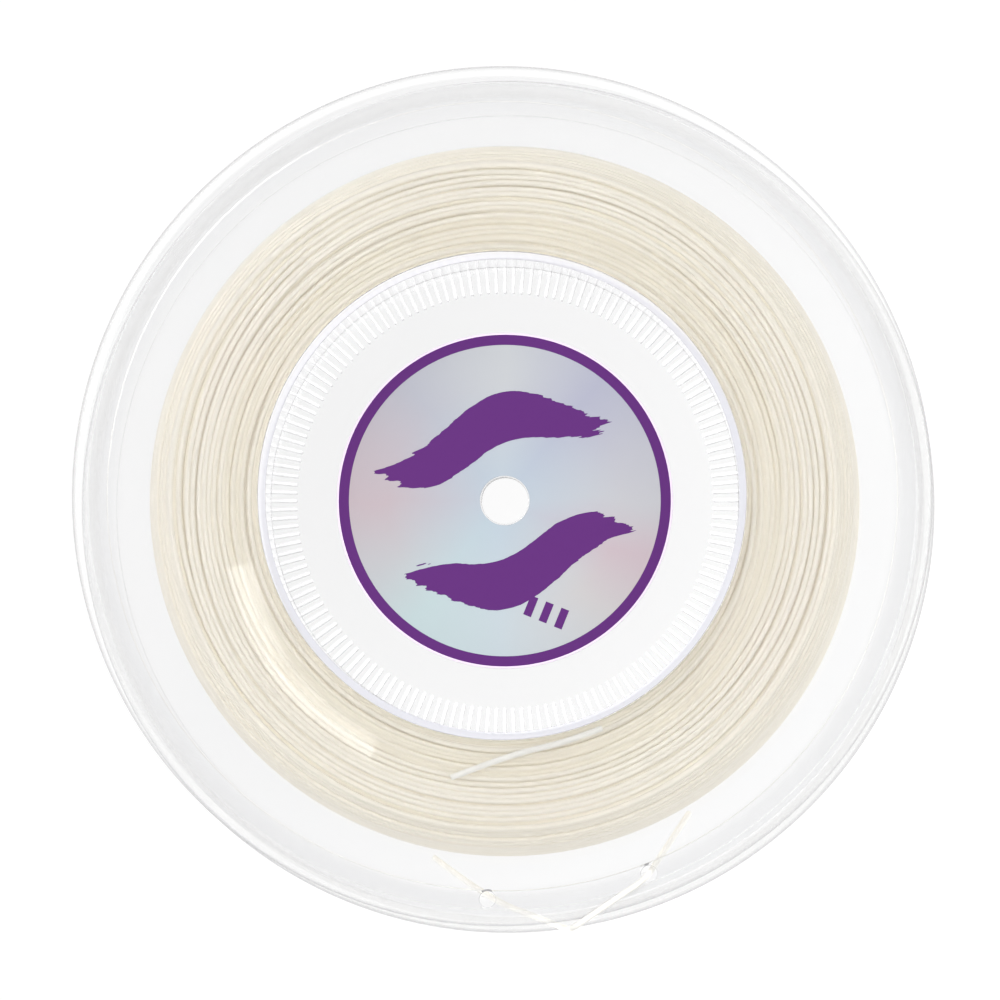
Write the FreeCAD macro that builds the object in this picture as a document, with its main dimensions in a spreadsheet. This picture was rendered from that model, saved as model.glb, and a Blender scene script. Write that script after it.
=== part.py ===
"""A clear reel that carries a long coil of racket string, lying flat on its rear rim.

Units are millimetres.  The origin is the centre of the rear rim's lower face, and +Z runs
along the spindle axis towards the labelled front side.  Each half of the reel is a flange
round a cup-shaped drum half, and the two cups stand back to back on the middle plane.
"""
import FreeCAD, Part
import math
import os

import Sketcher
from FreeCAD import Vector

SIZES = {
    "reel_width": 42.0,
    "rim_radius": 88.0,
    "rim_inner_radius": 86.0,
    "rim_depth": 3.4,
    "ramp_radius": 84.7,
    "band_radius": 80.8,
    "band_step": 0.3,
    "plate_recess": 0.6,
    "plate_thickness": 1.8,
    "spindle_radius": 4.8,
    "drum_radius": 50.0,
    "drum_wall": 1.6,
    "drum_draft": 0.4,
    "seat_gap": 0.05,
    "web_thickness": 2.0,
    "rib_inner_radius": 42.7,
    "rib_width": 0.6,
    "rib_depth": 1.0,
    "rib_count": 160,
    "tie_radius": 1.7,
    "tie_one_x": -3.0,
    "tie_one_y": -82.5,
    "tie_two_x": 30.0,
    "tie_two_y": -77.3,
    "label_radius": 34.5,
    "label_hole_radius": 5.1,
    "label_thickness": 0.15,
    "string_diameter": 1.23,
    "coil_radius": 73.4,
    "coil_inner_gap": 0.2,
    "coil_rear_gap": 0.3,
    "coil_front_gap": 2.0,
}

# The loose outer end: off the coil, out through tie hole two, over the front rim, back in
# behind tie hole one and down onto the coil.  Each inner point has its bend radius.
TAIL_ROUTE = [
    (37.7, -64.2, 20.0),
    (29.3, -78.5, 42.1),
    (14.8, -88.4, 43.2),
    (13.1, -88.6, 37.5),
    (-2.8, -82.5, 38.2),
    (-14.4, -73.4, 24.0),
]
TAIL_BENDS = [2.6, 2.5, 2.5, 14.0]

# The first end of the string: up from the drum and across the coil's front face.
START_ROUTE = [
    (20.4, -47.5, 38.3),
    (12.4, -50.6, 38.7),
    (1.6, -52.9, 38.7),
    (-10.5, -57.6, 38.5),
]


def fill_sheet(doc):
    """Put every driving size in the document's spreadsheet under its own alias."""
    sheet = doc.addObject("Spreadsheet::Sheet", "Sizes")
    for row, (alias, value) in enumerate(SIZES.items(), start=1):
        sheet.set(f"A{row}", alias)
        sheet.set(f"B{row}", str(value))
        sheet.setAlias(f"B{row}", alias)
    doc.recompute()
    return sheet


def origin_plane(body, role):
    """Return the origin plane of the body that has the given role."""
    return next(item for item in body.Origin.OriginFeatures if item.Role == role)


def attached_sketch(body, name, role):
    """Add a sketch that lies on one of the body's own origin planes."""
    sketch = body.newObject("Sketcher::SketchObject", name)
    sketch.AttachmentSupport = [(origin_plane(body, role), "")]
    sketch.MapMode = "FlatFace"
    return sketch


def size_point(sketch, line, across, up):
    """Hold a line's first point at two distances from the origin that the sheet gives."""
    for kind, expression in (("DistanceX", across), ("DistanceY", up)):
        length = float(sketch.evalExpression(expression))
        row = sketch.addConstraint(Sketcher.Constraint(kind, -1, 1, line, 1, length))
        sketch.setExpression(f"Constraints[{row}]", expression)


def outline(sketch, corners):
    """Draw a closed outline through corners given as pairs of sheet expressions."""
    points = [Vector(*(float(sketch.evalExpression(text)) for text in corner), 0.0)
              for corner in corners]
    count = len(points)
    for i, point in enumerate(points):
        sketch.addGeometry(Part.LineSegment(point, points[(i + 1) % count]), False)
    for i in range(count):
        sketch.addConstraint(Sketcher.Constraint("Coincident", i, 2, (i + 1) % count, 1))
    for i, (across, up) in enumerate(corners):
        size_point(sketch, i, across, up)


def circle(sketch, across, up, radius):
    """Draw a circle whose centre and radius are sheet expressions."""
    centre = Vector(*(float(sketch.evalExpression(text)) for text in (across, up)), 0.0)
    size = float(sketch.evalExpression(radius))
    row = sketch.addGeometry(Part.Circle(centre, Vector(0, 0, 1), size), False)
    for kind, expression in (("DistanceX", across), ("DistanceY", up)):
        length = float(sketch.evalExpression(expression))
        held = sketch.addConstraint(Sketcher.Constraint(kind, -1, 1, row, 3, length))
        sketch.setExpression(f"Constraints[{held}]", expression)
    held = sketch.addConstraint(Sketcher.Constraint("Radius", row, size))
    sketch.setExpression(f"Constraints[{held}]", radius)


INNER_FACE = "Sizes.plate_recess + Sizes.plate_thickness"
MIDDLE = "Sizes.reel_width / 2"
DRUM_INSIDE = "Sizes.drum_radius - Sizes.drum_wall"
FLOOR_EDGE = f"{DRUM_INSIDE} - Sizes.drum_draft"


def flange_corners():
    """List the flange's half section, with height zero on its outermost face."""
    band = "Sizes.plate_recess + Sizes.band_step"
    band_inner = f"{INNER_FACE} + Sizes.band_step"
    seat = "Sizes.drum_radius + Sizes.seat_gap"
    return [
        (seat, "Sizes.plate_recess"),
        ("Sizes.band_radius", "Sizes.plate_recess"),
        ("Sizes.band_radius", band),
        ("Sizes.ramp_radius", band),
        ("Sizes.rim_inner_radius", "0 mm"),
        ("Sizes.rim_radius", "0 mm"),
        ("Sizes.rim_radius", "Sizes.rim_depth"),
        ("Sizes.rim_inner_radius", "Sizes.rim_depth"),
        ("Sizes.ramp_radius", band_inner),
        ("Sizes.band_radius", band_inner),
        ("Sizes.band_radius", INNER_FACE),
        (seat, INNER_FACE),
    ]


def drum_corners():
    """List the drum half's section: a cup whose web lies on the reel's middle plane."""
    web_face = f"{MIDDLE} - Sizes.web_thickness"
    return [
        ("Sizes.spindle_radius", web_face),
        (FLOOR_EDGE, web_face),
        (DRUM_INSIDE, "Sizes.plate_recess"),
        ("Sizes.drum_radius", "Sizes.plate_recess"),
        ("Sizes.drum_radius", MIDDLE),
        ("Sizes.spindle_radius", MIDDLE),
    ]


def turned_body(doc, label, corners):
    """Make a body by revolving a half section about the Z axis."""
    body = doc.addObject("PartDesign::Body", label)
    profile = attached_sketch(body, label + "_section", "XZ_Plane")
    outline(profile, corners)
    turned = body.newObject("PartDesign::Revolution", label + "_turned")
    turned.Profile = profile
    turned.ReferenceAxis = (profile, ["V_Axis"])
    turned.Angle = 360.0
    doc.recompute()
    return body


def cut_tie_holes(doc, body, label, centres):
    """Pierce the flange at each centre, which is a pair of sheet expressions."""
    before = body.Shape.Volume
    holes = attached_sketch(body, label + "_tie_holes", "XY_Plane")
    for across, up in centres:
        circle(holes, across, up, "Sizes.tie_radius")
    pocket = body.newObject("PartDesign::Pocket", label + "_ties")
    pocket.Profile = holes
    pocket.Type = "ThroughAll"
    pocket.Midplane = True
    doc.recompute()
    removed = before - body.Shape.Volume
    expected = len(centres) * math.pi * SIZES["tie_radius"] ** 2 * SIZES["plate_thickness"]
    if abs(removed - expected) > 0.02 * expected:
        raise RuntimeError(f"{label}: tie holes removed {removed:.2f}, not {expected:.2f}")


def add_ribs(doc, body, label):
    """Stand the ring of low radial ribs on the web, just inside the drum wall."""
    rib = attached_sketch(body, label + "_rib", "XY_Plane")
    rib.setExpression("AttachmentOffset.Base.z", f"{MIDDLE} - Sizes.web_thickness")
    reach = f"{FLOOR_EDGE} + Sizes.drum_wall / 2"
    outline(rib, [
        ("Sizes.rib_inner_radius", "-Sizes.rib_width / 2"),
        (reach, "-Sizes.rib_width / 2"),
        (reach, "Sizes.rib_width / 2"),
        ("Sizes.rib_inner_radius", "Sizes.rib_width / 2"),
    ])
    pad = body.newObject("PartDesign::Pad", label + "_first_rib")
    pad.Profile = rib
    pad.Reversed = True
    pad.setExpression("Length", "Sizes.rib_depth")
    doc.recompute()
    ring = body.newObject("PartDesign::PolarPattern", label + "_rib_ring")
    ring.Originals = [pad]
    ring.Axis = (rib, ["N_Axis"])
    ring.Angle = 360.0
    ring.setExpression("Occurrences", "Sizes.rib_count")
    body.Tip = ring
    doc.recompute()


def turn_to_front(body):
    """Turn a body that was made for the rear half over onto the front of the reel."""
    body.Placement.Rotation = FreeCAD.Rotation(Vector(1, 0, 0), 180)
    body.setExpression("Placement.Base.z", "Sizes.reel_width")


def make_half(doc, side):
    """Make one half of the reel: its flange and its half of the drum."""
    flange = turned_body(doc, f"{side}_flange", flange_corners())
    drum = turned_body(doc, f"{side}_drum", drum_corners())
    add_ribs(doc, drum, f"{side}_drum")
    if side == "front":
        cut_tie_holes(doc, flange, "front_flange", [
            ("Sizes.tie_one_x", "-Sizes.tie_one_y"),
            ("Sizes.tie_two_x", "-Sizes.tie_two_y"),
        ])
        turn_to_front(flange)
        turn_to_front(drum)
    return [flange, drum]


def make_ring(doc, label, outer, inner, bottom, height):
    """Make a plain ring from two cylinders; all four sizes are sheet expressions."""
    solids = []
    for name, radius in (("_outside", outer), ("_inside", inner)):
        solid = doc.addObject("Part::Cylinder", label + name)
        solid.setExpression("Radius", radius)
        solid.setExpression("Height", height)
        solid.setExpression("Placement.Base.z", bottom)
        solids.append(solid)
    ring = doc.addObject("Part::Cut", label)
    ring.Base, ring.Tool = solids
    return ring


def bent_path(route, bends):
    """Join the route's straight runs with arcs of the given radii."""
    points = [Vector(*place) for place in route]
    edges = []
    last = points[0]
    for before, corner, after, radius in zip(points, points[1:], points[2:], bends):
        back = (before - corner).normalize()
        ahead = (after - corner).normalize()
        half = back.getAngle(ahead) / 2
        enter = corner + back * (radius / math.tan(half))
        leave = corner + ahead * (radius / math.tan(half))
        centre = corner + (back + ahead).normalize() * (radius / math.sin(half))
        middle = centre + (corner - centre).normalize() * radius
        edges.append(Part.LineSegment(last, enter).toShape())
        edges.append(Part.Arc(enter, middle, leave).toShape())
        last = leave
    edges.append(Part.LineSegment(last, points[-1]).toShape())
    return Part.Wire(edges)


def full_bends(route):
    """Give each inner point the largest arc that its two runs allow."""
    points = [Vector(*place) for place in route]
    bends = []
    for before, corner, after in zip(points, points[1:], points[2:]):
        run = min((corner - before).Length, (after - corner).Length)
        turn = math.pi - (before - corner).getAngle(after - corner)
        bends.append(0.45 * run / math.tan(turn / 2))
    return bends


def make_string(doc, label, route, bends):
    """Sweep the string's round section along a bent path and check its volume."""
    path = bent_path(route, bends)
    radius = SIZES["string_diameter"] / 2
    first = path.OrderedEdges[0]
    facing = first.tangentAt(first.FirstParameter)
    section = Part.Wire([Part.Circle(Vector(*route[0]), facing, radius).toShape()])
    tube = path.makePipeShell([section], True, True)
    expected = math.pi * radius ** 2 * path.Length
    print(f"{label}: length {path.Length:.1f}, bend radii {[round(r, 1) for r in bends]}")
    if abs(tube.Volume - expected) > 0.01 * expected:
        raise RuntimeError(f"{label}: volume {tube.Volume:.2f}, not {expected:.2f}")
    piece = doc.addObject("Part::Feature", label)
    piece.Shape = tube
    return piece


def build(doc):
    """Build every piece of the reel and return them in order from rear to front."""
    between = f"Sizes.reel_width - 2 * ({INNER_FACE})"
    coil = make_ring(doc, "string_coil", "Sizes.coil_radius",
                     "Sizes.drum_radius + Sizes.coil_inner_gap",
                     f"{INNER_FACE} + Sizes.coil_rear_gap",
                     f"{between} - Sizes.coil_rear_gap - Sizes.coil_front_gap")
    label = make_ring(doc, "front_label", "Sizes.label_radius", "Sizes.label_hole_radius",
                      f"{MIDDLE} + Sizes.web_thickness", "Sizes.label_thickness")
    start = make_string(doc, "string_start", START_ROUTE, full_bends(START_ROUTE))
    tail = make_string(doc, "string_tail", TAIL_ROUTE, TAIL_BENDS)
    return make_half(doc, "rear") + [coil, start, tail] + make_half(doc, "front") + [label]


def check_pieces(doc, pieces):
    """Stop if any object failed to build or any piece is not one sound solid."""
    for item in doc.Objects:
        if {"Invalid", "Error"} & set(item.State):
            raise RuntimeError(f"{item.Label} did not build: {item.State}")
    for piece in pieces:
        shape = piece.Shape
        if shape.isNull() or not shape.isValid() or len(shape.Solids) != 1:
            raise RuntimeError(f"{piece.Label} is not one sound solid")
        print(f"{piece.Label}: volume {shape.Volume:.0f}, {shape.BoundBox}")


def main():
    """Build the document, check it and write one file for each piece."""
    doc = FreeCAD.newDocument("StringReel")
    fill_sheet(doc)
    pieces = build(doc)
    doc.recompute()
    check_pieces(doc, pieces)
    os.makedirs("parts", exist_ok=True)
    for piece in pieces:
        piece.Shape.exportStep(f"parts/{piece.Label}.step")


main()
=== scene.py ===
"""The looks of a clear plastic reel of ivory racket string, lying on its rear flange.

Every length is in metres.  The reel's axis is +Z, the labelled front flange is on top, and
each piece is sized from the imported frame.
"""
from __future__ import annotations

import logging
import math
import random
from dataclasses import dataclass, field
from enum import Enum

import bpy
from mathutils import Matrix, Vector


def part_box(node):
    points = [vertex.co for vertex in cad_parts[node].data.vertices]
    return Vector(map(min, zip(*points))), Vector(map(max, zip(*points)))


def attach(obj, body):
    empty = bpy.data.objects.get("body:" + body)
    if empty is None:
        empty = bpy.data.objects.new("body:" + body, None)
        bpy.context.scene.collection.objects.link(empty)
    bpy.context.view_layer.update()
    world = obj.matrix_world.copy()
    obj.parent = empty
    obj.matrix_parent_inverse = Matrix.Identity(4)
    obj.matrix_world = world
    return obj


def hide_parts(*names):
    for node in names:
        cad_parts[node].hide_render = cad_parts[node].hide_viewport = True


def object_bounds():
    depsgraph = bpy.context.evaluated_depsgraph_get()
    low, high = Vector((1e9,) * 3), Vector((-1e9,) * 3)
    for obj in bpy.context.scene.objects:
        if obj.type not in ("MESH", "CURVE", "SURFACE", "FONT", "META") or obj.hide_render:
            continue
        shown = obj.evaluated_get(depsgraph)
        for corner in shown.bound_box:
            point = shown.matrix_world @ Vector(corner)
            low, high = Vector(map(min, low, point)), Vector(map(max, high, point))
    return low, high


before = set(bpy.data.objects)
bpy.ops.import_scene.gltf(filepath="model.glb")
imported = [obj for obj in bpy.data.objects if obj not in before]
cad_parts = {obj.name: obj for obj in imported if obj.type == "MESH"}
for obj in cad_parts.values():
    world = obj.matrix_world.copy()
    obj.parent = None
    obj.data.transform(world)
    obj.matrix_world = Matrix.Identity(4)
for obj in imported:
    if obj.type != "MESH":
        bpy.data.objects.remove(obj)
CAD_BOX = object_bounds()

LOG = logging.getLogger("string_reel")
Piece = bpy.types.Object
Material = bpy.types.Material
Socket = bpy.types.NodeSocket
Colour = tuple[float, float, float]
Section = list[tuple[float, float]]
MM = 0.001
FULL_TURN = math.tau
WELD = 0.001 * MM
CORNER_ANGLE = math.radians(20.0)
SMOOTH_ANGLE = math.radians(40.0)
WHITE = (1.0, 1.0, 1.0, 1.0)


class Face(Enum):
    """The side of the reel that a piece belongs to."""

    REAR = "rear"
    FRONT = "front"


# --------------------------------- modelling


def select_nothing() -> None:
    """Leave edit mode and deselect every object."""
    if bpy.context.object and bpy.context.object.mode != "OBJECT":
        bpy.ops.object.mode_set(mode="OBJECT")
    bpy.ops.object.select_all(action="DESELECT")


def make_active(piece: Piece) -> None:
    """Select one object alone and make it the active one.

    Args:
        piece: The object to work on.
    """
    select_nothing()
    piece.select_set(True)
    bpy.context.view_layer.objects.active = piece


def apply_modifier(piece: Piece, kind: str, **settings: object) -> None:
    """Add a modifier to a piece, set it up and apply it.

    Args:
        piece: The mesh to change.
        kind: Blender's name for the modifier.
        settings: The modifier's own properties.
    """
    make_active(piece)
    modifier = piece.modifiers.new(kind.lower(), kind)
    for name, value in settings.items():
        setattr(modifier, name, value)
    bpy.ops.object.modifier_apply(modifier=modifier.name)


def turn_on_lathe(name: str, section: Section, steps: int = 256) -> Piece:
    """Turn a closed half section about the Z axis into a closed solid.

    Args:
        name: The new piece's name.
        section: The section's corners as radius and height.
        steps: How many flats make up the full circle.

    Returns:
        The turned piece.
    """
    select_nothing()
    first = Vector((section[0][0], 0.0, section[0][1]))
    bpy.ops.mesh.primitive_plane_add(size=MM, location=first)
    piece = bpy.context.object
    piece.name = name
    bpy.ops.object.transform_apply(location=True, rotation=True, scale=True)
    bpy.ops.object.mode_set(mode="EDIT")
    bpy.ops.mesh.select_all(action="SELECT")
    bpy.ops.mesh.merge(type="CENTER")
    bpy.ops.mesh.select_all(action="SELECT")
    for here, there in zip(section, section[1:] + section[:1]):
        step = (there[0] - here[0], 0.0, there[1] - here[1])
        bpy.ops.mesh.extrude_vertices_move(TRANSFORM_OT_translate={"value": step})
    bpy.ops.mesh.select_all(action="SELECT")
    bpy.ops.mesh.remove_doubles(threshold=WELD)
    bpy.ops.mesh.spin(steps=steps, angle=FULL_TURN, center=(0, 0, 0), axis=(0, 0, 1))
    bpy.ops.mesh.select_all(action="SELECT")
    bpy.ops.mesh.remove_doubles(threshold=WELD)
    bpy.ops.mesh.normals_make_consistent(inside=False)
    bpy.ops.object.mode_set(mode="OBJECT")
    return piece


def soften(piece: Piece, width: float, segments: int = 2) -> None:
    """Round a piece's corners and shade its curved faces smooth.

    Args:
        piece: The mesh to round.
        width: How far the rounding reaches from each corner.
        segments: How many strips make up the rounding.
    """
    apply_modifier(piece, "BEVEL", width=width, segments=segments, limit_method="ANGLE",
                   angle_limit=CORNER_ANGLE, harden_normals=False)
    shade(piece)


def shade(piece: Piece) -> None:
    """Shade a piece smooth across its shallow corners and keep its flat faces flat.

    Args:
        piece: The mesh to shade.
    """
    make_active(piece)
    bpy.ops.object.shade_smooth_by_angle(angle=SMOOTH_ANGLE)
    apply_modifier(piece, "WEIGHTED_NORMAL", mode="FACE_AREA", weight=100, keep_sharp=True)


def join(pieces: list[Piece], name: str) -> Piece:
    """Join several meshes into one piece.

    Args:
        pieces: The meshes to join.
        name: The joined piece's name.

    Returns:
        The joined piece.
    """
    make_active(pieces[0])
    for piece in pieces:
        piece.select_set(True)
    bpy.ops.object.join()
    joined = bpy.context.object
    joined.name = name
    return joined


def fit_out(piece: Piece, material: Material, slot: str, *nodes: str) -> None:
    """Dress a finished piece, put it on the reel's body and report it.

    Args:
        piece: The finished piece.
        material: Its finish.
        slot: The record's material slot that the finish belongs to; not used.
        nodes: The frame nodes that it stands for.
    """
    piece.data.materials.clear()
    piece.data.materials.append(material)
    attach(piece, "root")
    if nodes:
        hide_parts(*nodes)
    LOG.info("%s: %s in %s", piece.name, piece.type.lower(), material.name)


# --------------------------------- finishes


class ShaderBench:
    """Lays out nodes in one material or world."""

    def __init__(self, name: str, world: bpy.types.World | None = None) -> None:
        """Start with only the surface's shader, or the world's, and the output.

        Args:
            name: The new material's name.
            world: The world to light instead of a new material.
        """
        self.material = world or bpy.data.materials.new(name)
        self.material.use_nodes = True
        self.tree = self.material.node_tree
        self.surface = self.tree.nodes["Background" if world else "Principled BSDF"]

    def add(self, kind: str, **settings: object) -> bpy.types.Node:
        """Add a node and set its properties.

        Args:
            kind: The node's type name.
            settings: Properties by name.

        Returns:
            The new node.
        """
        node = self.tree.nodes.new(kind)
        for name, value in settings.items():
            setattr(node, name, value)
        return node

    def feed(self, socket: Socket, value: object) -> None:
        """Link a socket to another, or set it to a plain value.

        Args:
            socket: The input to feed.
            value: An output's socket or a plain value.
        """
        if isinstance(value, Socket):
            self.tree.links.new(value, socket)
        else:
            socket.default_value = value

    def math(self, operation: str, *values: object) -> Socket:
        """Work out one number from others.

        Args:
            operation: The Math node's operation.
            values: Sockets or plain numbers, in order.

        Returns:
            The result's socket.
        """
        node = self.add("ShaderNodeMath", operation=operation)
        for socket, value in zip(node.inputs, values):
            self.feed(socket, value)
        return node.outputs[0]

    def place(self) -> Socket:
        """Give the surface point's place on the piece, in metres."""
        return self.add("ShaderNodeTexCoord").outputs["Object"]

    def split(self, place: object) -> list[Socket]:
        """Take a place or a direction apart.

        Args:
            place: Its socket.

        Returns:
            The sockets of its X, Y and Z.
        """
        node = self.add("ShaderNodeSeparateXYZ")
        self.feed(node.inputs[0], place)
        return list(node.outputs)

    def reach(self, place: object) -> Socket:
        """Give a place's distance from the Z axis, in metres."""
        squares = [self.math("MULTIPLY", along, along) for along in self.split(place)[:2]]
        return self.math("SQRT", self.math("ADD", *squares))

    def ease(self, value: object, span: tuple[float, float], result: tuple[float, float] = (0.0, 1.0),
             kind: str = "SMOOTHSTEP") -> Socket:
        """Pass from one number to another while a value crosses a span.

        Args:
            value: The value's socket.
            span: Where the change starts and ends.
            result: The numbers before and after it.
            kind: Blender's name for how it goes between.

        Returns:
            The result's socket.
        """
        node = self.add("ShaderNodeMapRange", interpolation_type=kind)
        for name, item in zip(("Value", "From Min", "From Max", "To Min", "To Max"), (value, *span, *result)):
            self.feed(node.inputs[name], item)
        return node.outputs["Result"]

    def noise(self, place: object, scale: float, detail: float = 2.0) -> Socket:
        """Give a smooth random pattern between 0 and 1.

        Args:
            place: Where the pattern is read.
            scale: Pattern cells per metre.
            detail: How many finer layers it has.

        Returns:
            The pattern's socket.
        """
        node = self.add("ShaderNodeTexNoise")
        self.feed(node.inputs["Vector"], place)
        node.inputs["Scale"].default_value = scale
        node.inputs["Detail"].default_value = detail
        return node.outputs["Fac"]

    def stretch(self, place: object, scale: tuple, turn: float = 0.0, shift: tuple = (0, 0, 0)) -> object:
        """Scale, turn about Z and shift a place before a pattern reads it.

        Args:
            place: The place's socket.
            scale: The factors along X, Y and Z.
            turn: The angle, in radians.
            shift: The shift, in metres.

        Returns:
            The new place's socket.
        """
        node = self.add("ShaderNodeMapping")
        self.feed(node.inputs["Vector"], place)
        node.inputs["Scale"].default_value = scale
        node.inputs["Rotation"].default_value = (0, 0, turn)
        node.inputs["Location"].default_value = shift
        return node.outputs["Vector"]

    def ramp(self, position: object, stops: list) -> Socket:
        """Give a colour for each position.

        Args:
            position: A socket between 0 and 1.
            stops: Pairs of position and linear colour.

        Returns:
            The colour's socket.
        """
        node = self.add("ShaderNodeValToRGB")
        self.feed(node.inputs["Fac"], position)
        ramp = node.color_ramp
        for index, (at, colour) in enumerate(stops):
            stop = ramp.elements[index] if index < 2 else ramp.elements.new(at)
            stop.position = at
            stop.color = (*colour, 1.0)
        return node.outputs["Color"]

    def blend(self, share: object, low: object, high: object) -> Socket:
        """Mix two colours.

        Args:
            share: How much of the second one there is, from 0 to 1.
            low: The first colour.
            high: The second colour.

        Returns:
            The mixed colour's socket.
        """
        node = self.add("ShaderNodeMix", data_type="RGBA")
        self.feed(node.inputs["Factor"], share)
        for name, colour in (("A", low), ("B", high)):
            socket = next(s for s in node.inputs if s.name == name and s.type == "RGBA")
            self.feed(socket, colour if isinstance(colour, Socket) else (*colour, 1.0))
        return next(s for s in node.outputs if s.type == "RGBA")

    def bump(self, height: object, strength: float, distance: float) -> None:
        """Roughen the surface with a height pattern.

        Args:
            height: The pattern's socket.
            strength: How much of it shows, from 0 to 1.
            distance: How far it rises, in metres.
        """
        node = self.add("ShaderNodeBump")
        self.feed(node.inputs["Height"], height)
        node.inputs["Strength"].default_value = strength
        node.inputs["Distance"].default_value = distance
        self.feed(self.surface.inputs["Normal"], node.outputs["Normal"])

    def set(self, **values: object) -> None:
        """Set the surface shader's sockets; underscores stand for spaces."""
        for name, value in values.items():
            self.feed(self.surface.inputs[name.replace("_", " ")], value)


@dataclass(frozen=True)
class ClearPlastic:
    """Water-clear moulded plastic with slight waves from the mould, a little darker at the rim."""

    name: str = "clear_plastic"
    tint: Colour = (0.976, 0.976, 0.977)
    thick_tint: Colour = (0.925, 0.926, 0.93)
    thick_from: float = 79.5 * MM
    thick_to: float = 82.5 * MM
    bend: float = 1.57
    wave_scale: float = 22.0
    wave_height: float = 0.00006
    rough: float = 0.015
    thick_rough: float = 0.13
    haze_rough: float = 0.01
    haze_scale: float = 60.0

    def build(self) -> Material:
        """Build the plastic's material."""
        bench = ShaderBench(self.name)
        place = bench.place()
        haze = bench.noise(place, self.haze_scale, 4.0)
        thick = bench.ease(bench.reach(place), (self.thick_from, self.thick_to))
        rough = bench.math("MULTIPLY_ADD", thick, self.thick_rough, self.rough)
        bench.set(
            Base_Color=bench.blend(thick, self.tint, self.thick_tint),
            Roughness=bench.math("MULTIPLY_ADD", haze, self.haze_rough, rough),
            IOR=self.bend,
            Transmission_Weight=1.0,
        )
        bench.bump(bench.noise(place, self.wave_scale, 1.0), 1.0, self.wave_height)
        return bench.material


@dataclass(frozen=True)
class MilkyPlastic:
    """The same plastic drawn part opaque: the fine ribs, lit up with a painted glow, and the tie holes' cut
    edges, in painted dark shade.
    """

    name: str
    cover: float
    glow: float
    colour: Colour = (0.90, 0.90, 0.91)
    roughness: float = 0.18
    cloud_scale: float = 70.0
    cloud_depth: float = 0.16

    def build(self) -> Material:
        """Build the milky plastic's material."""
        bench = ShaderBench(self.name)
        cloud = bench.noise(bench.place(), self.cloud_scale, 2.0)
        bench.set(
            Base_Color=(*self.colour, 1.0),
            Roughness=self.roughness,
            Alpha=bench.math("MULTIPLY_ADD", cloud, self.cloud_depth, self.cover - self.cloud_depth / 2),
            # The emission is painted light, not a lamp; only the ribs get it.
            Emission_Color=WHITE,
            Emission_Strength=self.glow,
        )
        return bench.material


@dataclass(frozen=True)
class EdgePlastic:
    """The same plastic seen edge on, in painted shade and glow: clearer on level faces, greyer and more
    opaque on upright ones, which on the wall also glow.

    The colours and covers are given for a face's levelness, from 0 upright to 1 level: a colour
    as its red and green, then its blue, and a cover as the share of the light that it stops.
    """

    name: str
    colours: tuple
    covers: tuple
    roughness: float = 0.1
    glow: float = 0.0
    glow_fall: float = 3.0
    flutes: int = 0
    flute_depth: float = 0.0

    def build(self) -> Material:
        """Build the edge plastic's material."""
        bench = ShaderBench(self.name)
        normal = bench.add("ShaderNodeNewGeometry").outputs["True Normal"]
        level = bench.math("ABSOLUTE", bench.split(normal)[2])
        upright = bench.math("MAXIMUM", bench.math("MULTIPLY_ADD", level, -self.glow_fall, 1.0), 0.0)
        bench.set(
            Base_Color=bench.ramp(level, [(at, (grey, grey, cool)) for at, grey, cool in self.colours]),
            Roughness=self.roughness,
            Alpha=bench.ramp(level, [(at, (cover, cover, cover)) for at, cover in self.covers]),
            Emission_Color=WHITE,
            # Painted glow on upright faces, not a lamp.
            Emission_Strength=bench.math("MULTIPLY", upright, self.fluted(bench)),
        )
        return bench.material

    def fluted(self, bench: ShaderBench) -> Socket:
        """Give the painted glow's strength, wavering as painted light and shade of the flutes that run along
        the wall; the modelled wall has no flutes.

        Args:
            bench: The material's nodes.

        Returns:
            The strength's socket.
        """
        across, up, _ = bench.split(bench.place())
        angle = bench.math("ARCTAN2", up, across)
        wave = bench.math("SINE", bench.math("MULTIPLY", angle, float(self.flutes)))
        return bench.math("MULTIPLY_ADD", wave, self.flute_depth, self.glow)


# Painted glow, wavering with painted flutes, lights up the drum wall; its colours add painted shade.
WALL_GLOW_PLASTIC = EdgePlastic(
    name="edge_on_wall_painted_glow",
    colours=((0.00, 0.62, 0.62), (0.25, 0.60, 0.61), (0.55, 0.42, 0.45), (0.85, 0.42, 0.45),
             (1.00, 0.68, 0.74)),
    covers=((0.00, 0.80), (0.50, 0.70), (0.90, 0.60), (1.00, 0.42)),
    glow=0.29,
    flutes=160,
    flute_depth=0.045,
)

# Painted grey shade on the thick rim, darker on its upright faces.
RIM_SHADE_PLASTIC = EdgePlastic(
    name="rim_edge_painted_shade",
    colours=((0.00, 0.40, 0.41), (0.40, 0.44, 0.45), (0.80, 0.50, 0.51), (0.95, 0.58, 0.58),
             (1.00, 0.64, 0.64)),
    covers=((0.00, 0.60), (0.50, 0.40), (0.84, 0.26), (0.97, 0.17), (1.00, 0.15)),
)


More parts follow.
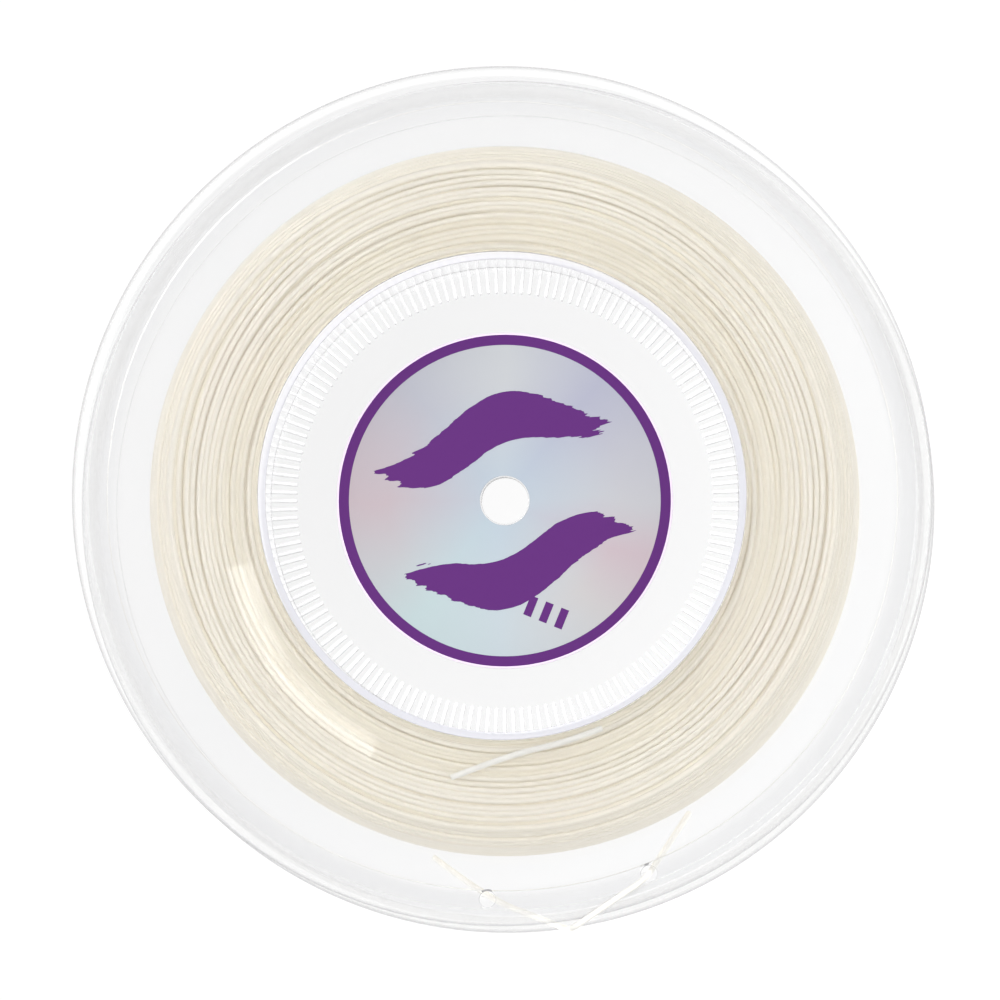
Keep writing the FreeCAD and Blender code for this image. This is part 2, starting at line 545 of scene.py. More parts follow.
@dataclass(frozen=True)
class StringFilament:
    """Smooth ivory monofilament, a little different from turn to turn, with painted shade on turns that lie
    deeper.

    It glows faintly, in place of the light that passes through it from turn to turn.
    """

    name: str = "ivory_string"
    pale: Colour = (0.785, 0.748, 0.672)
    deep: Colour = (0.70, 0.645, 0.515)
    painted_glow_colour: Colour = (0.86, 0.80, 0.69)
    roughness: float = 0.36
    glow: float = 0.15
    open_glow: float = 0.15
    open_from: float = 1.0
    uses_tone: bool = True
    tone_share: float = 0.75
    drift_scale: float = 45.0
    sheen_scale: float = 900.0
    sheen_depth: float = 0.16
    grain_scale: float = 1500.0
    grain_strength: float = 0.05
    grain_height: float = 0.02 * MM
    bend: float = 1.55

    def build(self) -> Material:
        """Build the string's material."""
        bench = ShaderBench(self.name)
        place = bench.place()
        drift = bench.noise(place, self.drift_scale, 3.0)
        # The stored turn tone is the string's own tone plus painted shade on deeper turns.
        if self.uses_tone:
            tone = bench.add("ShaderNodeAttribute", attribute_name="turn_tone_and_shade").outputs["Fac"]
            drift = bench.math("MULTIPLY", drift, 1.0 - self.tone_share)
            drift = bench.math("MULTIPLY_ADD", tone, self.tone_share, drift)
        sheen = bench.noise(place, self.sheen_scale)
        bench.set(
            Base_Color=bench.blend(drift, self.pale, self.deep),
            Roughness=bench.math(
                "MULTIPLY_ADD", sheen, self.sheen_depth, self.roughness - self.sheen_depth / 2),
            IOR=self.bend,
            # Emission is painted light, in place of light that passes through the string.
            Emission_Color=(*self.painted_glow_colour, 1.0),
            Emission_Strength=self.lift(bench, place),
        )
        bench.bump(bench.noise(place, self.grain_scale, 1.0), self.grain_strength, self.grain_height)
        return bench.material

    def lift(self, bench: ShaderBench, place: object) -> Socket:
        """Give the string's painted glow: one value under the clear plastic, where it makes up for the light
        that the plastic holds back, another out in the open.
        """
        span = (self.open_from, self.open_from + MM)
        return bench.ease(bench.split(place)[2], span, (self.glow, self.open_glow), "LINEAR")


@dataclass(frozen=True)
class PearlLabel:
    """Pearly film, its sheen painted into its colour, with a printed edge ring and two brushed wave bands."""

    radius: float
    centre: Colour = (0.52, 0.61, 0.70)
    ink: Colour = (0.070, 0.010, 0.115)
    rim_film: Colour = (0.70, 0.58, 0.74)
    depth: float = 0.62
    ring_inner: float = 32.0 * MM
    ring_outer: float = 34.1 * MM
    centre_reach: float = 24.0 * MM
    band_height: float = 13.5 * MM
    band_lean: float = math.radians(-14.0)
    band_reach: float = 25.0 * MM
    band_half: float = 5.4 * MM
    band_thinning: float = 2.2 * MM
    wave_turns: float = 150.0
    wave_start: float = 0.9
    wave_height: float = 3.2 * MM
    fray: float = 6.5 * MM
    pip_lean: float = math.radians(22.0)
    pip_first: tuple[float, float] = (-13.1 * MM, 18.15 * MM)
    pip_pitch: float = 3.4 * MM
    pip_half: tuple[float, float] = (0.85 * MM, 2.1 * MM)
    # Painted pearly sheen: the film's fans of colour round the centre.
    sheen: tuple = (
        (0.00, (0.57, 0.48, 0.52)),
        (0.15, (0.55, 0.67, 0.69)),
        (0.25, (0.58, 0.66, 0.71)),
        (0.37, (0.62, 0.60, 0.61)),
        (0.44, (0.61, 0.50, 0.55)),
        (0.50, (0.58, 0.58, 0.62)),
        (0.64, (0.47, 0.48, 0.60)),
        (0.75, (0.59, 0.61, 0.64)),
        (0.86, (0.50, 0.51, 0.58)),
        (1.00, (0.57, 0.48, 0.52)),
    )

    def build(self) -> Material:
        """Build the label's material."""
        bench = ShaderBench("pearl_label")
        place = bench.place()
        reach = bench.reach(place)
        film = self.film(bench, place, reach)
        print_mask = bench.math("MAXIMUM", self.ring(bench, reach), self.bands(bench, place))
        print_mask = bench.math("MAXIMUM", print_mask, self.pips(bench, place))
        edge = bench.math("GREATER_THAN", reach, self.ring_outer)
        colour = bench.blend(print_mask, film, self.ink)
        bench.set(
            Base_Color=bench.blend(edge, colour, self.rim_film),
            Roughness=bench.math("MULTIPLY_ADD", print_mask, 0.15, 0.30),
            Specular_IOR_Level=bench.math("MULTIPLY_ADD", print_mask, -0.32, 0.5),
            Metallic=bench.math("MULTIPLY_ADD", print_mask, -0.25, 0.25),
        )
        bench.bump(bench.noise(place, 3000.0, 2.0), 0.1, 0.00001)
        return bench.material

    def film(self, bench: ShaderBench, place: object, reach: object) -> Socket:
        """Give the film's colour: a painted pearly sheen, which changes round the centre in soft fans.

        Args:
            bench: The material's nodes.
            place: The place's socket.
            reach: Its distance from the centre.

        Returns:
            The colour's socket.
        """
        wander = bench.noise(bench.stretch(place, (1, 1, 0)), 30.0, 2.0)
        turn = bench.add("ShaderNodeTexGradient", gradient_type="RADIAL")
        bench.feed(turn.inputs["Vector"], place)
        angle = bench.math("ADD", turn.outputs["Fac"], bench.math("MULTIPLY_ADD", wander, 0.10, -0.05))
        fans = bench.ramp(angle, [(at, tuple(c * self.depth for c in colour)) for at, colour in self.sheen])
        middle = bench.math("SUBTRACT", 1.0, bench.math("DIVIDE", reach, self.centre_reach))
        middle = bench.math("MAXIMUM", middle, 0.0)
        return bench.blend(middle, fans, tuple(c * self.depth for c in self.centre))

    def ring(self, bench: ShaderBench, reach: object) -> Socket:
        """Give 1 on the printed edge ring and 0 elsewhere."""
        outside = bench.math("GREATER_THAN", reach, self.ring_inner)
        return bench.math("MULTIPLY", outside, bench.math("LESS_THAN", reach, self.ring_outer))

    def bands(self, bench: ShaderBench, place: object) -> Socket:
        """Give 1 on the two wavy brush bands above and below the hole.

        Args:
            bench: The material's nodes.
            place: The place's socket.

        Returns:
            The mask's socket.
        """
        masks = []
        for side in (1.0, -1.0):
            local = bench.stretch(place, (1, 1, 1), self.band_lean)
            along, up, _ = bench.split(local)
            phase = bench.math("MULTIPLY_ADD", along, self.wave_turns, self.wave_start * side)
            wave = bench.math("MULTIPLY", bench.math("SINE", phase), self.wave_height)
            above = bench.math("SUBTRACT", up, wave)
            off = bench.math("ABSOLUTE", bench.math("SUBTRACT", above, self.band_height * side))
            frayed = bench.noise(bench.stretch(local, (70, 900, 1)), 1.0, 3.0)
            taper = bench.math("ABSOLUTE", bench.math("DIVIDE", along, self.band_reach))
            taper = bench.math("POWER", taper, 3.0)
            fray = bench.math("MULTIPLY", frayed, self.fray)
            fray = bench.math("MULTIPLY", bench.math("ADD", taper, 0.10), fray)
            whole = bench.math("MULTIPLY_ADD", taper, -self.band_thinning, self.band_half)
            masks.append(bench.math("LESS_THAN", off, bench.math("SUBTRACT", whole, fray)))
        return bench.math("MAXIMUM", *masks)

    def pips(self, bench: ShaderBench, place: object) -> Socket:
        """Give 1 on three short slanted bars to the lower right of the hole.

        Args:
            bench: The material's nodes.
            place: The place's socket.

        Returns:
            The mask's socket.
        """
        mask = None
        left, up = self.pip_first
        for number in range(3):
            local = bench.stretch(place, (1, 1, 1), self.pip_lean, (left - self.pip_pitch * number, up, 0))
            wide, tall = (
                bench.math("LESS_THAN", bench.math("ABSOLUTE", off), half)
                for off, half in zip(bench.split(local), self.pip_half))
            bar = bench.math("MULTIPLY", wide, tall)
            mask = bar if mask is None else bench.math("MAXIMUM", mask, bar)
        return mask


# --------------------------------- pieces


@dataclass
class ClearReel:
    """The two clear halves of the reel, each a flange round a cup-shaped drum half."""

    width: float = field(default_factory=lambda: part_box("front_flange")[1][2])
    rim: float = field(default_factory=lambda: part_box("rear_flange")[1][0])
    drum: float = field(default_factory=lambda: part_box("front_drum")[1][0])
    middle: float = field(default_factory=lambda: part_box("front_drum")[0][2])
    rim_inner: float = 86.0 * MM
    rim_depth: float = 3.4 * MM
    rim_slope: float = 0.05 * MM
    bead: float = 1.0 * MM
    bead_steps: int = 5
    ramp: float = 84.7 * MM
    band: float = 80.8 * MM
    band_step: float = 0.3 * MM
    recess: float = 0.6 * MM
    plate: float = 1.8 * MM
    seat_gap: float = 0.05 * MM
    hole: float = 4.8 * MM
    drum_wall: float = 1.6 * MM
    drum_draft: float = 0.4 * MM
    web: float = 2.0 * MM
    rib_inner: float = 42.7 * MM
    rib_width: float = 0.6 * MM
    rib_depth: float = 1.0 * MM
    rib_count: int = 160
    tie_radius: float = 1.7 * MM
    tie_holes: tuple = ((-3.0 * MM, -82.5 * MM), (30.0 * MM, -77.3 * MM))
    tie_flare: float = 0.35 * MM
    tie_steps: int = 40
    upright_below: float = 0.95
    flange_rounding: float = 0.12 * MM
    drum_rounding: float = 0.15 * MM
    rib_rounding: float = 0.2 * MM
    slip: float = 0.02 * MM
    steps: int = 480

    def flange_section(self) -> Section:
        """List the flange's half section.

        Returns:
            Its corners as radius and height, with height zero on its outermost face.
        """
        inner = self.recess + self.plate
        seat = self.drum + self.seat_gap
        return [
            (seat, self.recess),
            (self.band, self.recess),
            (self.band, self.recess + self.band_step),
            (self.ramp, self.recess + self.band_step),
            (self.rim_inner, self.rim_slope),
            *self.rim_bead(),
            (self.rim_inner, self.rim_depth - self.rim_slope),
            (self.ramp, inner + self.band_step),
            (self.band, inner + self.band_step),
            (self.band, inner),
            (seat, inner),
        ]

    def rim_bead(self) -> Section:
        """Round the rim's outer edge.

        Returns:
            The rounding's points as radius and height.
        """
        bead, points = self.bead, []
        for middle, first in ((bead, -90.0), (self.rim_depth - bead, 0.0)):
            for step in range(self.bead_steps + 1):
                angle = math.radians(first + 90.0 * step / self.bead_steps)
                points.append((self.rim - bead + bead * math.cos(angle), middle + bead * math.sin(angle)))
        return points

    def placed(self, face: Face, height: float) -> float:
        """Turn a height above a half's outermost face into a height in the frame."""
        return self.width - height if face is Face.FRONT else height

    def turned(self, face: Face, name: str, section: Section) -> Piece:
        """Turn a half section on the side of the reel that it belongs to.

        Args:
            face: The side of the reel.
            name: The new piece's name.
            section: Radius, and height above the half's outermost face.

        Returns:
            The turned piece.
        """
        placed = [(radius, self.placed(face, height)) for radius, height in section]
        return turn_on_lathe(name, placed, self.steps)

    def make_flange(self, face: Face) -> Piece:
        """Model one flange.

        Args:
            face: Which of the two flanges it is.

        Returns:
            The flange, with tie holes if it is the front one.
        """
        flange = self.turned(face, f"{face.value}_flange_clear", self.flange_section())
        soften(flange, self.flange_rounding)
        if face is Face.FRONT:
            self.drill(flange)
            shade(flange)
        return flange

    def drill(self, flange: Piece) -> None:
        """Drill the two flared tie holes.

        Args:
            flange: The front flange.
        """
        top = self.width - self.recess
        wide, narrow = self.tie_radius + self.tie_flare, self.tie_radius
        section = [(0.0, top - self.plate - MM), (narrow, top - self.plate - MM),
                   (narrow, top - self.tie_flare), (wide, top), (wide + MM, top + MM), (0.0, top + MM)]
        for across, up in self.tie_holes:
            drill = turn_on_lathe("tie_drill", section, self.tie_steps)
            drill.location = (across, up, 0.0)
            apply_modifier(flange, "BOOLEAN", operation="DIFFERENCE", object=drill, solver="EXACT")
            bpy.data.objects.remove(drill)

    def line_edges(self, flange: Piece, *finishes: Material) -> None:
        """Give the thick rim and the tie holes' cut edges finishes with painted grey shade.

        Args:
            flange: The flange, which already has its clear plastic.
            finishes: The rim's painted-shade finish and the tie holes' painted-shade finish.
        """
        for finish in finishes:
            flange.data.materials.append(finish)
        reach = self.tie_radius + self.tie_flare + self.slip
        rim_from = self.ramp + self.slip
        for face in flange.data.polygons:
            across, up = face.center.x, face.center.y
            if math.hypot(across, up) > rim_from:
                face.material_index = 1
            elif abs(face.normal.z) < self.upright_below and any(
                    math.hypot(across - x, up - y) < reach for x, y in self.tie_holes):
                face.material_index = 2

    def make_web(self, face: Face) -> Piece:
        """Model the flat web of one drum half.

        Args:
            face: The side of the reel.

        Returns:
            The web.
        """
        edge = self.drum - self.drum_wall - self.drum_draft
        low, high = self.middle - self.web, self.middle - self.slip
        web = self.turned(face, f"{face.value}_drum_web", [
            (self.hole, low), (edge, low), (edge, high), (self.hole, high)])
        soften(web, self.drum_rounding)
        return web

    def make_wall(self, face: Face) -> Piece:
        """Model the round wall of one drum half, a little thinner towards its open end.

        Args:
            face: The side of the reel.

        Returns:
            The wall.
        """
        inside = self.drum - self.drum_wall
        foot = inside - self.drum_draft + self.slip
        high = self.middle - self.slip
        wall = self.turned(face, f"{face.value}_drum_wall", [
            (foot, high), (foot, self.middle - self.web), (inside, self.recess), (self.drum, self.recess),
            (self.drum, high)])
        soften(wall, self.drum_rounding)
        return wall

    def make_ribs(self, face: Face) -> Piece:
        """Model one rib and copy it round the web, just inside the drum wall.

        Args:
            face: The side of the reel.

        Returns:
            All the ribs as one piece.
        """
        outer = self.drum - self.drum_wall - self.drum_draft - self.slip
        high = self.middle - self.web - self.slip
        low = high - self.rib_depth + self.slip
        centre = ((self.rib_inner + outer) / 2, 0.0, self.placed(face, (low + high) / 2))
        select_nothing()
        bpy.ops.mesh.primitive_cube_add(size=1.0, location=centre)
        first = bpy.context.object
        first.scale = (outer - self.rib_inner, self.rib_width, high - low)
        bpy.ops.object.transform_apply(location=True, rotation=True, scale=True)
        soften(first, self.rib_rounding)
        ribs = [first]
        for number in range(1, self.rib_count):
            rib = first.copy()
            rib.data = first.data.copy()
            rib.data.transform(Matrix.Rotation(FULL_TURN * number / self.rib_count, 4, "Z"))
            bpy.context.collection.objects.link(rib)
            ribs.append(rib)
        return join(ribs, f"{face.value}_rib_ring")

    def build(self) -> None:
        """Model, dress and place the clear pieces."""
        plastic = ClearPlastic().build()
        # The ribs get a painted glow on top of their milky white.
        rib_glow_plastic = MilkyPlastic("milky_rib_plastic_painted_glow", cover=0.36, glow=0.24).build()
        wall_glow_plastic = WALL_GLOW_PLASTIC.build()
        rim_shade_plastic = RIM_SHADE_PLASTIC.build()
        # Painted dark grey shade on the tie holes' cut edges.
        tie_shade_plastic = MilkyPlastic(
            "tie_edge_painted_shade", cover=0.80, glow=0.0, colour=(0.36, 0.36, 0.37)).build()
        for face in Face:
            drum = f"{face.value}_drum"
            flange = self.make_flange(face)
            fit_out(flange, plastic, "clear_plastic", f"{face.value}_flange")
            self.line_edges(flange, rim_shade_plastic, tie_shade_plastic)
            fit_out(self.make_web(face), plastic, "clear_plastic", drum)
            fit_out(self.make_wall(face), wall_glow_plastic, "clear_plastic", drum)
            fit_out(self.make_ribs(face), rib_glow_plastic, "clear_plastic", drum)


@dataclass
class StringCoil:
    """The wound string: loose-looking turns over a solid middle.

    Packing is a turn's pitch, and depths are how far its centre lies inside the coil's surface,
    all as shares of the string's thickness.  A few turns have sunk between their neighbours.
    """

    string: float = 1.23 * MM
    inner: float = field(default_factory=lambda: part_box("front_drum")[1][0] + 0.2 * MM)
    outer: float = field(default_factory=lambda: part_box("string_coil")[1][0])
    rear: float = field(default_factory=lambda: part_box("string_coil")[0][2])
    front: float = field(default_factory=lambda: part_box("string_coil")[1][2])
    crown: float = 4.6 * MM
    crown_power: float = 3.6
    band_sway: float = 0.45 * MM
    own_sway: float = 0.11 * MM
    points: int = 30
    face_packing: float = 0.97
    outside_packing: float = 0.95
    first_depth: float = 0.52
    face_layer: float = 0.38
    outside_layer: float = 0.50
    face_dip: tuple[float, float] = (0.0, 0.17)
    sunk_dip: tuple[float, float] = (0.24, 0.42)
    sunk_share: float = 0.10
    outside_dip: tuple[float, float] = (0.0, 0.18)
    outside_sunk_dip: float = 0.22
    outside_sunk_share: float = 0.15
    row_wander: float = 0.22
    # Painted shade for each level that a turn lies down.
    layer_shade: float = 0.6
    middle_depth: float = 1.1
    trace_steps: int = 2000
    seed: int = 11

    def __post_init__(self) -> None:
        """Fix the random order that the turns wander in."""
        self.chance = random.Random(self.seed)

    def wander(self, size: float) -> list[tuple[float, float, float]]:
        """Pick the slow waves that one turn follows.

        Args:
            size: How far the largest one may reach.

        Returns:
            Each wave's size, count and start.
        """
        shares = ((1, 1.0), (2, 0.7), (3, 0.45), (5, 0.2))
        return [(size * share * self.chance.uniform(0.4, 1.0), count,
                 self.chance.uniform(0, FULL_TURN)) for count, share in shares]

    def edge(self, height: float) -> float:
        """Give the coil's outer radius at a height; the outside is crowned."""
        middle, half = (self.front + self.rear) / 2, (self.front - self.rear) / 2
        return self.outer - self.crown * min(1.0, abs((height - middle) / half)) ** self.crown_power

    def outside_places(self) -> Section:
        """Place turns side by side round the crowned outside.

        Returns:
            Each turn's radius and height.
        """
        places, last, step = [], None, self.outside_packing * self.string
        top, tall = self.front - 0.5 * self.string, self.front - self.rear - self.string
        for number in range(self.trace_steps + 1):
            height = top - tall * number / self.trace_steps
            here = (self.edge(height), height)
            if last is None or math.dist(here, last) >= step:
                places.append(here)
                last = here
        return places

    def turn(self, radius: float, height: float, rolling: list, rising: list) -> list[Vector]:
        """Place the points of one closed turn.

        Args:
            radius: The turn's mean radius.
            height: Its mean height.
            rolling: The waves that it follows in radius.
            rising: The waves that it follows in height.

        Returns:
            The turn's points, all inside the coil's shape.
        """
        half = self.string / 2
        places = []
        for number in range(self.points):
            angle = FULL_TURN * number / self.points
            far = radius + sum(a * math.sin(n * angle + b) for a, n, b in rolling)
            tall = height + sum(a * math.sin(n * angle + b) for a, n, b in rising)
            tall = min(max(tall, self.rear + half), self.front - half)
            far = min(max(far, self.inner + half), self.edge(tall) - half)
            places.append(Vector((far * math.cos(angle), far * math.sin(angle), tall)))
        return places

    def wind(self, name: str, turns: list[list[Vector]], tones: list[float]) -> Piece:
        """Run string along every turn and make the bundle one mesh.

        Args:
            name: The bundle's name.
            turns: The points of each closed turn.
            tones: How deep each turn's colour is, from 0 to 1: its own tone plus painted shade.

        Returns:
            The bundle, with a tone for each turn.
        """
        curve = bpy.data.curves.new(name, "CURVE")
        curve.dimensions = "3D"
        curve.bevel_depth = self.string / 2
        curve.bevel_resolution = 1
        curve.resolution_u = 4
        for places in turns:
            spline = curve.splines.new("NURBS")
            spline.points.add(len(places) - 1)
            for point, place in zip(spline.points, places):
                point.co = (*place, 1.0)
            spline.order_u = 4
            spline.use_cyclic_u = True
        bundle = bpy.data.objects.new(name, curve)
        bpy.context.collection.objects.link(bundle)
        make_active(bundle)
        bpy.ops.object.convert(target="MESH")
        bundle = bpy.context.object
        bpy.ops.object.shade_smooth()
        self.tone(bundle, tones)
        return bundle

    def tone(self, bundle: Piece, tones: list[float]) -> None:
        """Store each turn's tone, painted shade included, on its points.

        Args:
            bundle: The turns as one mesh.
            tones: Each turn's tone.
        """
        count = len(tones)
        share = len(bundle.data.vertices) // count
        layer = bundle.data.attributes.new("turn_tone_and_shade", "FLOAT", "POINT")
        for index, item in enumerate(layer.data):
            item.value = tones[min(index // share, count - 1)]

    def pick_tone_and_shade(self, levels: int) -> float:
        """Pick how deep a turn's colour is: a random tone of its own plus painted shade, deeper the more
        levels it lies down.
        """
        return min(1.0, 0.5 * self.chance.random() + self.layer_shade * levels)

    def face_turns(self, face: Face, layers: int) -> tuple[list[list[Vector]], list[float]]:
        """List the turns that show on one flat side of the coil.

        Args:
            face: The side of the reel.
            layers: How many turns deep the side is modelled.

        Returns:
            The points of each turn, and each turn's tone with painted shade.
        """
        width = self.outer - self.crown - self.inner
        rows = int(width / (self.face_packing * self.string))
        pitch = width / rows
        turns, tones = [], []
        for layer in range(layers):
            band, left = [], 0
            for row in range(rows):
                if left == 0:
                    band, left = self.wander(self.band_sway), self.chance.randint(2, 5)
                left -= 1
                sunk = self.chance.random() < self.sunk_share
                dip = self.chance.uniform(*(self.sunk_dip if sunk else self.face_dip))
                down = (self.first_depth + self.face_layer * layer + dip) * self.string
                offset = 0.5 * (layer % 2) + self.chance.uniform(-self.row_wander, self.row_wander)
                radius = self.inner + pitch * (row + 0.5 + offset)
                height = self.front - down if face is Face.FRONT else self.rear + down
                turns.append(self.turn(
                    radius, height, band + self.wander(self.own_sway), self.wander(self.own_sway)))
                tones.append(self.pick_tone_and_shade(layer + sunk))
        return turns, tones

    def outside_turns(self) -> tuple[list[list[Vector]], list[float]]:
        """List the turns that show round the coil's outside.

        Returns:
            The points of each turn, and each turn's tone with painted shade.
        """
        turns, tones = [], []
        for layer in range(2):
            for radius, height in self.outside_places():
                loose = self.chance.uniform(*self.outside_dip)
                if self.chance.random() < self.outside_sunk_share:
                    loose += self.outside_sunk_dip
                sink = self.string * (self.first_depth + self.outside_layer * layer + loose)
                shift = 0.5 * self.string * layer
                turns.append(self.turn(
                    radius - sink, height - shift, self.wander(self.own_sway), self.wander(self.own_sway)))
                tones.append(self.pick_tone_and_shade(layer))
        return turns, tones

    def make_middle(self) -> Piece:
        """Model the solid middle that fills the coil under its turns.

        Returns:
            The middle.
        """
        gap = self.middle_depth * self.string
        low, high = self.rear + gap, self.front - gap
        near, strips = self.inner + 0.1 * MM, 16
        heights = [low + (high - low) * step / strips for step in range(strips + 1)]
        outline = [(near, low), *((self.edge(height) - gap, height) for height in heights), (near, high)]
        return turn_on_lathe("string_coil_middle", outline, 128)

    def build(self) -> None:
        """Model, dress and place the wound string."""
        filament = StringFilament().build()
        fit_out(self.wind("string_coil_front", *self.face_turns(Face.FRONT, 3)), filament, "string",
                "string_coil")
        fit_out(self.wind("string_coil_rear", *self.face_turns(Face.REAR, 2)), filament, "string",
                "string_coil")
        # The outside turns face away from the lamps, so a stronger painted glow lights them up.
        outside_glow_filament = StringFilament(name="ivory_string_outside_painted_glow", glow=0.18, open_glow=0.18).build()
        fit_out(self.wind("string_coil_outside", *self.outside_turns()), outside_glow_filament, "string", "string_coil")
        fit_out(self.make_middle(), filament, "string", "string_coil")


@dataclass
class LooseEnds:
    """The string's two ends: the first one on the coil and the last one tied at the rim."""

    diameter: float = 1.23 * MM
    start_route: tuple = (
        (20.4, -47.5, 38.3),
        (12.4, -50.6, 38.7),
        (1.6, -52.9, 38.7),
        (-10.5, -57.6, 38.5),
    )
    tail_route: tuple = (
        (37.7, -64.2, 20.0),
        (32.0, -73.9, 35.0),
        (29.3, -78.5, 42.1),
        (24.6, -81.6, 42.4),
        (18.6, -85.7, 42.9),
        (14.8, -88.4, 43.2),
        (13.1, -88.6, 37.5),
        (9.2, -86.9, 37.7),
        (-2.8, -82.5, 38.2),
        (-14.4, -73.4, 24.0),
    )

    def run(self, name: str, route: tuple) -> Piece:
        """Run one length of string along a smooth route given in millimetres.

        Args:
            name: The piece's name.
            route: The control points.

        Returns:
            The string as a round curve with closed ends.
        """
        curve = bpy.data.curves.new(name, "CURVE")
        curve.dimensions = "3D"
        curve.bevel_depth = self.diameter / 2
        curve.bevel_resolution = 5
        curve.resolution_u = 12
        curve.use_fill_caps = True
        spline = curve.splines.new("NURBS")
        spline.points.add(len(route) - 1)
        for point, place in zip(spline.points, route):
            point.co = (*(Vector(place) * MM), 1.0)
        spline.order_u = 3
        spline.use_endpoint_u = True
        piece = bpy.data.objects.new(name, curve)
        bpy.context.collection.objects.link(piece)
        return piece

    def length(self, piece: Piece) -> float:
        """Measure a curve along its centre line."""
        return piece.data.splines[0].calc_length()

    def build(self) -> None:
        """Run and dress both loose ends."""
        # Dimmer colours with a painted glow in their place: the glow is stronger under the clear plastic,
        # where less lamp light reaches, than in the open.
        shared = {"pale": (0.60, 0.59, 0.56), "deep": (0.56, 0.55, 0.51), "painted_glow_colour": (1.0, 0.98, 0.93),
                  "open_from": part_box("front_flange")[1][2] - MM, "uses_tone": False}
        on_coil = StringFilament(name="start_string", glow=0.30, open_glow=0.30, **shared).build()
        tied = StringFilament(name="tail_string", glow=0.40, open_glow=0.14, **shared).build()
        for name, route, far_end, filament in (("string_start", self.start_route, "bare", on_coil),
                                               ("string_tail", self.tail_route, "object", tied)):
            piece = self.run(f"{name}_end", route)
            fit_out(piece, filament, "string", name)


@dataclass
class FrontLabel:
    """The round printed film on the front of the middle web."""

    radius: float = field(default_factory=lambda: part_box("front_label")[1][0])
    low: float = field(default_factory=lambda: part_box("front_label")[0][2])
    high: float = field(default_factory=lambda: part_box("front_label")[1][2])
    hole: float = 5.1 * MM
    lift: float = 0.02 * MM

    def build(self) -> None:
        """Model, dress and place the label."""
        low = self.low + self.lift
        label = turn_on_lathe("front_label_film", [
            (self.hole, low), (self.radius, low), (self.radius, self.high), (self.hole, self.high)])
        soften(label, 0.04 * MM, 1)
        fit_out(label, PearlLabel(self.radius).build(), "label_film", "front_label")


# --------------------------------- studio


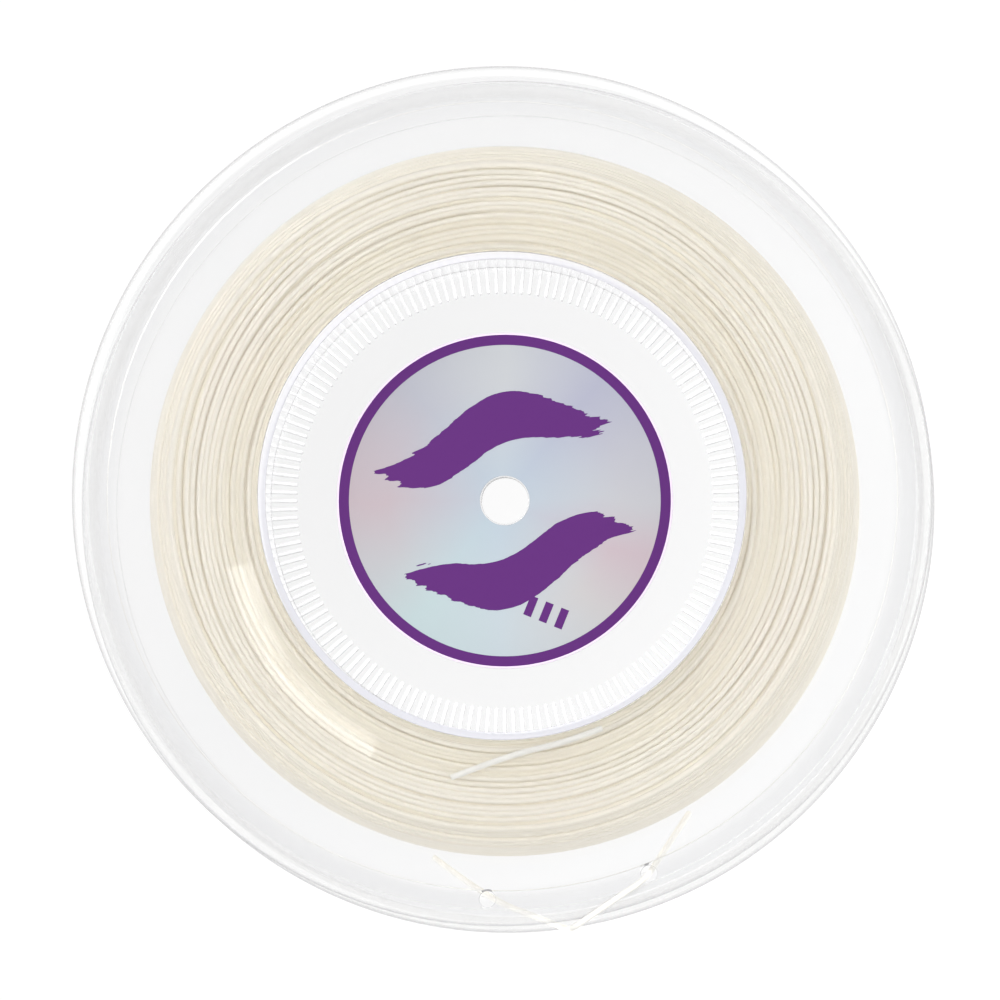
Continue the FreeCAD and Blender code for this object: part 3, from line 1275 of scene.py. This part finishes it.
@dataclass
class Studio:
    """The pale floor, the soft light and the camera; the glint's path is in millimetres."""

    floor_size: float = 8.0
    floor_colour: Colour = (0.06, 0.06, 0.06)
    floor_glow: float = 0.95
    far_glow: float = 0.45
    glow_slope: tuple[float, float] = (0.75, -0.40)
    glow_limits: tuple[float, float] = (-0.03, 0.04)
    bright_reach: float = 0.15
    dim_reach: float = 0.32
    dome: tuple = ((0.0, (0.74, 0.74, 0.75)), (0.60, (1.0, 1.0, 1.0)))
    dome_strength: float = 0.9
    dark: Colour = (0.10, 0.10, 0.10)
    dark_span: tuple[float, float] = (-0.80, -0.93)
    dark_share: float = 0.8
    camera_distance: float = 4.0
    lean_right: float = 0.0306
    lean_down: float = 0.0569
    view_width: float = 204.2 * MM
    aim: tuple[float, float] = (-0.35 * MM, -1.06 * MM)
    softbox_size: float = 1.1
    softboxes: tuple = (
        ("key_softbox", (-0.9, 0.7, 1.5), 25.0),
        ("fill_softbox", (1.2, -0.1, 1.3), 15.0),
        ("low_softbox", (-0.5, -1.2, 1.5), 9.0),
    )
    glint_path: tuple = ((-54.5, -14.7), (-51.4, -26.0), (-46.1, -36.2), (-37.5, -45.0), (-25.9, -52.1))
    glint_height: float = 0.5
    glint_width: float = 3.2 * MM
    glint_radiance: float = 2.8

    def build(self) -> None:
        """Set up everything round the reel."""
        self.lay_floor()
        self.light_world()
        self.place_lights()
        self.place_camera()
        bpy.context.scene.view_settings.view_transform = "Standard"

    def lay_floor(self) -> None:
        """Lay the plain floor under the reel: a light table that glows evenly."""
        select_nothing()
        bpy.ops.mesh.primitive_plane_add(size=self.floor_size, location=(0, 0, 0))
        floor = bpy.context.object
        floor.name = "floor"
        bench = ShaderBench("pale_floor")
        bench.set(Base_Color=(*self.floor_colour, 1.0), Roughness=0.9, Specular_IOR_Level=0.1,
                  Emission_Color=WHITE, Emission_Strength=self.glow(bench))
        floor.data.materials.append(bench.material)

    def glow(self, bench: ShaderBench) -> Socket:
        """Give the light table's glow.

        It is full under the reel, a little stronger to the lower right, and dimmer far away so
        that the clear edges show.

        Args:
            bench: The floor's nodes.

        Returns:
            The glow's socket.
        """
        place = bench.place()
        across, up, _ = bench.split(place)
        fade = bench.ease(
            bench.reach(place), (self.bright_reach, self.dim_reach), (self.floor_glow, self.far_glow))
        tilt = bench.math("MULTIPLY", up, self.glow_slope[1])
        tilt = bench.math("MULTIPLY_ADD", across, self.glow_slope[0], tilt)
        tilt = bench.math("MAXIMUM", tilt, self.glow_limits[0])
        tilt = bench.math("MINIMUM", tilt, self.glow_limits[1])
        return bench.math("ADD", fade, tilt)

    def light_world(self) -> None:
        """Surround the reel with soft light, dimmer near the horizon and dark low at the front."""
        world = bpy.data.worlds.new("studio_dome")
        bpy.context.scene.world = world
        bench = ShaderBench(world.name, world)
        _, ahead, up = bench.split(bench.add("ShaderNodeTexCoord").outputs["Generated"])
        low_front = bench.ease(ahead, self.dark_span, (0.0, self.dark_share))
        dome = bench.blend(low_front, bench.ramp(up, self.dome), self.dark)
        bench.set(Color=dome, Strength=self.dome_strength)

    def place_lights(self) -> None:
        """Hang the large soft lights and the thin ones for the glint."""
        for name, place, watts in self.softboxes:
            lamp = bpy.data.lights.new(name, "AREA")
            lamp.shape = "SQUARE"
            lamp.size = self.softbox_size
            lamp.energy = watts
            light = bpy.data.objects.new(name, lamp)
            light.location = place
            light.rotation_euler = (-Vector(place)).to_track_quat("-Z", "Y").to_euler()
            bpy.context.collection.objects.link(light)
        self.hang_glints()

    def hang_glints(self) -> None:
        """Hang thin lamps that the front flange mirrors as one curved glint over the string."""
        top = CAD_BOX[1][2]
        eye = self.eye()
        share = self.glint_height / self.camera_distance
        spots = [Vector((x * MM, y * MM, top)) for x, y in self.glint_path]
        for number, (first, last) in enumerate(zip(spots, spots[1:])):
            middle, along = (first + last) / 2, last - first
            lamp = bpy.data.lights.new(f"glint_{number}", "AREA")
            lamp.shape = "RECTANGLE"
            lamp.size = along.length * (1 + share)
            lamp.size_y = self.glint_width
            lamp.energy = math.pi * self.glint_radiance * lamp.size * lamp.size_y
            light = bpy.data.objects.new(f"glint_{number}", lamp)
            light.location = (*(middle + (middle - eye) * share).to_2d(), top + self.glint_height)
            light.rotation_euler = (0.0, 0.0, math.atan2(along.y, along.x))
            bpy.context.collection.objects.link(light)

    def eye(self) -> Vector:
        """Give the camera's place."""
        toward = Vector((self.lean_right, -self.lean_down, 1.0)).normalized()
        return Vector((*self.aim, CAD_BOX[1][2])) + toward * self.camera_distance

    def place_camera(self) -> None:
        """Look down on the front flange from far away, slightly from the lower right."""
        toward = Vector((self.lean_right, -self.lean_down, 1.0)).normalized()
        camera_data = bpy.data.cameras.new("camera")
        camera_data.lens = camera_data.sensor_width * self.camera_distance / self.view_width
        camera_data.clip_end = 50.0
        camera = bpy.data.objects.new("camera", camera_data)
        camera.location = self.eye()
        right = Vector((0, 1, 0)).cross(toward).normalized()
        turned = Matrix((right, toward.cross(right), toward)).transposed()
        camera.rotation_euler = turned.to_euler()
        bpy.context.collection.objects.link(camera)
        bpy.context.scene.camera = camera


def keep_size() -> None:
    """Update the view layer."""
    bpy.context.view_layer.update()


def main() -> None:
    """Build the reel and its studio, piece by piece."""
    logging.basicConfig(level=logging.INFO, format="%(name)s %(message)s")
    Studio().build()
    ClearReel().build()
    StringCoil().build()
    LooseEnds().build()
    FrontLabel().build()
    keep_size()


if __name__ == "__main__":
    main()
